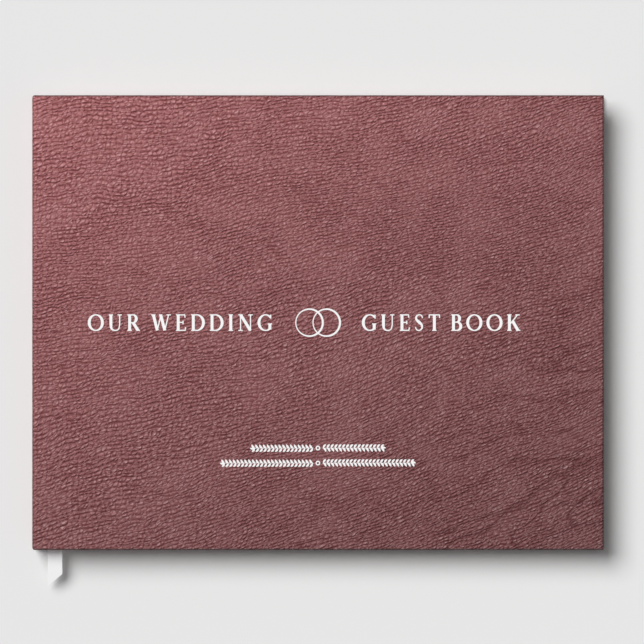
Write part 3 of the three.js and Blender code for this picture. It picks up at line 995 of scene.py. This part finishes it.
LOW, HIGH = THIN / 2, 1 - THIN / 2  # middles of thin strokes along the foot and the head
LETTERS = {  # width and strokes, in capitals' heights
    "B": (0.66, [*stem(0.15), rule(0.15, LOW, 0.34, LOW), rule(0.15, HIGH, 0.32, HIGH),
                 rule(0.15, 0.53, 0.33, 0.53), bowl(0.32, 0.75, 0.2, 0.22, 90, -90),
                 bowl(0.34, 0.28, 0.25, 0.25, 90, -90)]),
    "D": (0.84, [*stem(0.15), rule(0.15, LOW, 0.34, LOW), rule(0.15, HIGH, 0.34, HIGH),
                 bowl(0.34, 0.5, 0.42, 0.47, 90, -90)]),
    "E": (0.62, [*stem(0.15), rule(0.15, LOW, 0.58, LOW), rule(0.15, HIGH, 0.55, HIGH),
                 rule(0.15, 0.51, 0.44, 0.51), rule(0.56, 0.01, 0.6, 0.22),
                 rule(0.54, 0.99, 0.56, 0.8), rule(0.44, 0.4, 0.44, 0.62)]),
    "G": (0.86, [bowl(0.47, 0.5, 0.4, 0.47, 42, 318), rule(0.73, 0.08, 0.73, 0.4, THICK),
                 foot(0.73, 0.42), rule(0.78, 0.74, 0.78, 0.98)]),
    "I": (0.3, stem(0.15)),
    "K": (0.8, [*stem(0.15), rule(0.2, 0.42, 0.64, 0.97), rule(0.34, 0.6, 0.68, 0.02, THICK),
                foot(0.68, LOW), foot(0.64, HIGH)]),
    "N": (0.9, [*stem(0.15, THIN), rule(0.16, 0.97, 0.74, 0.03, THICK), *stem(0.75, THIN, (1,))]),
    "O": (0.94, [bowl(0.47, 0.5, 0.4, 0.47, 0, 360)]),
    "R": (0.76, [*stem(0.15), rule(0.15, HIGH, 0.34, HIGH), rule(0.15, 0.5, 0.34, 0.5),
                 bowl(0.34, 0.735, 0.21, 0.235, 90, -90), rule(0.36, 0.5, 0.66, 0.02, THICK),
                 foot(0.68, LOW, 0.09)]),
    "S": (0.58, [pen((0.49, 0.78, THIN), (0.43, 0.93, THIN), (0.28, 0.97, THIN), (0.13, 0.88, 0.1),
                     (0.12, 0.7, 0.13), (0.28, 0.53, THICK), (0.44, 0.37, 0.13),
                     (0.46, 0.17, 0.1), (0.31, 0.03, THIN), (0.14, 0.07, THIN),
                     (0.07, 0.23, THIN))]),
    "T": (0.7, [*stem(0.35, THICK, (0,)), rule(0.03, HIGH, 0.67, HIGH),
                rule(0.04, 0.98, 0.04, 0.78), rule(0.66, 0.98, 0.66, 0.78)]),
    "U": (0.84, [rule(0.15, 0.99, 0.15, 0.36, THICK), foot(0.15, HIGH),
                 pen((0.15, 0.37, THICK), (0.18, 0.16, 0.13), (0.3, 0.05, 0.09),
                     (0.46, 0.03, THIN), (0.61, 0.11, THIN), (0.68, 0.37, THIN)),
                 rule(0.68, 0.36, 0.68, 0.99), foot(0.68, HIGH)]),
    "W": (1.2, [rule(0.14, 0.98, 0.38, 0.03, THICK), rule(0.38, 0.03, 0.6, 0.97),
                rule(0.58, 0.98, 0.83, 0.03, THICK), rule(0.83, 0.03, 1.06, 0.98),
                foot(0.14, HIGH), foot(0.58, HIGH, 0.1), foot(1.06, HIGH)]),
    " ": (0.1, []),
}


def foil_stroke(stroke, x=0.0, y=0.0, size=1.0):
    """A pen stroke as a thin slab; x, y and size put a letter's stroke in its place."""
    line = stroke[:, :2] * size + (x, y)
    ahead = np.gradient(line, axis=0)
    ahead /= np.linalg.norm(ahead, axis=1, keepdims=True)
    side = np.stack([ahead[:, 1], -ahead[:, 0]], axis=1) * stroke[:, 2:] * size / 2
    grid = np.full((2, len(line), 3), FOIL_LEVEL)
    grid[0, :, :2], grid[1, :, :2] = line - side, line + side
    return sheet_mesh(grid, FOIL)


def foil_words(words, start, end, y):
    """The strokes of a line of capitals, spaced out evenly from start to end."""
    widths = sum(LETTERS[letter][0] for letter in words) * CAPITAL
    gap = (end - start - widths) / (len(words) - 1)
    strokes = []
    for letter in words:
        width, letter_strokes = LETTERS[letter]
        strokes += [foil_stroke(stroke, start, y, CAPITAL) for stroke in letter_strokes]
        start += width * CAPITAL + gap
    return strokes


def foil_piece(name, strokes, look):
    """All the strokes, merged where they cross, as one piece that rides on the cover."""
    first = new_object("first_stroke", *strokes[0], smooth=False)
    others = new_object("other_strokes", *join_meshes(strokes[1:]), smooth=False)
    merge = first.modifiers.new("merge", "BOOLEAN")
    merge.operation, merge.solver, merge.use_self = "UNION", "EXACT", True
    merge.object = others
    bpy.context.view_layer.update()
    merged = first.evaluated_get(bpy.context.evaluated_depsgraph_get())
    mesh = bpy.data.meshes.new_from_object(merged)
    shape = bmesh.new()
    shape.from_mesh(mesh)
    bmesh.ops.dissolve_degenerate(shape, dist=SLIVER, edges=shape.edges)
    shape.to_mesh(mesh)
    shape.free()
    piece = bpy.data.objects.new(name, mesh)
    bpy.context.collection.objects.link(piece)
    for used in (first, others):
        bpy.data.objects.remove(used)
    finish_piece(piece, look, "white_foil")
    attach(piece, "front_cover")


def ring(x, y, radius, thin, thick, steps):
    """A round stroke, from thick on its right to thin on its left."""
    turn = np.linspace(0, 2 * math.pi, steps + 1)
    width = (thick + thin) / 2 + (thick - thin) / 2 * np.cos(turn)
    return np.stack([x + radius * np.cos(turn), y + radius * np.sin(turn), width], axis=1)


def leaf(x, y, angle):
    """A pointed leaf from its stalk at x, y."""
    share = np.linspace(0, 1, 9)
    width = LEAF_WIDTH * np.sin(math.pi * share) ** 0.8 + 0.05 * MM
    bend = 0.12 * LEAF * np.sin(math.pi * share)
    along = share * LEAF
    turn_x, turn_y = math.cos(angle), math.sin(angle)
    line = [x + along * turn_x - bend * turn_y, y + along * turn_y + bend * turn_x, width]
    return foil_stroke(np.stack(line, axis=1))


def vine(y, half_width):
    """A row of paired leaves on a thin stalk, mirrored about a bead on the cover's middle."""
    strokes = []
    last = half_width - LEAF
    count = round((last - FIRST_LEAF) / LEAF_PITCH)
    for side in (-1, 1):
        stalk = rule(side * STALK_START, y, side * (half_width - LEAF * 0.6), y, STALK)
        strokes.append(foil_stroke(stalk))
        for x in np.linspace(FIRST_LEAF, last, count + 1):
            for angle in (-LEAF_ANGLE, LEAF_ANGLE):
                strokes.append(leaf(side * x, y, angle if side > 0 else math.pi - angle))
        strokes.append(leaf(side * last, y, 0 if side > 0 else math.pi))
    strokes.append(foil_stroke(ring(0, y, BEAD_RADIUS, BEAD_WIDTH, BEAD_WIDTH, 24)))
    return strokes


def build_foil():
    """A plain title, two linked rings, and two rows of leaves."""
    look = foil_look()
    words = []
    for phrase, start, end in TITLE:
        words += foil_words(phrase, start, end, -CAPITAL / 2)
    foil_piece("foil_words", words, look)
    rings = [foil_stroke(ring(x, 0, RING_RADIUS, RING_THIN, RING_THICK, 48))
             for x in (-RING_OFFSET, RING_OFFSET)]
    foil_piece("foil_rings", rings, look)
    for name, y, half_width in VINES:
        foil_piece(name, vine(y, half_width), look)


# ---- the whole book

build_marker()
build_light()
build_table()
leather = leather_look()
build_case(leather)
build_foil()
endpaper = paper_look("ivory_endpaper", (0.84, 0.8, 0.72))
pages = paper_look("page_paper", (0.88, 0.85, 0.78))
build_pastedown("front_pasted_endpaper", "front_pastedown", "front_cover", 1, endpaper)
build_pastedown("back_pasted_endpaper", "back_pastedown", "back_half", -1, endpaper)
build_flyleaf("front_free_endpaper", "front_flyleaf", "front_flyleaf", endpaper, 31)
build_flyleaf("back_free_endpaper", "back_flyleaf", "back_half", endpaper, 37)
for number in range(1, GATHERINGS + 1):
    build_gathering(number, pages)
bands = band_look()
for end in ("head", "tail"):
    build_band(f"sewn_{end}_band", f"{end}_band", bands)
build_lining(cloth_look("crash_cloth", (0.72, 0.67, 0.55), 0.0008))
thread = cloth_look("waxed_thread", (0.85, 0.82, 0.75), 0.0003)
for number in range(1, STITCH_ROWS + 1):
    build_sewing(number, thread)
grey = board_look()
for node in ("front_board", "back_board", "spine_board"):
    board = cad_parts[node]
    board.data.materials.clear()
    board.data.materials.append(grey)
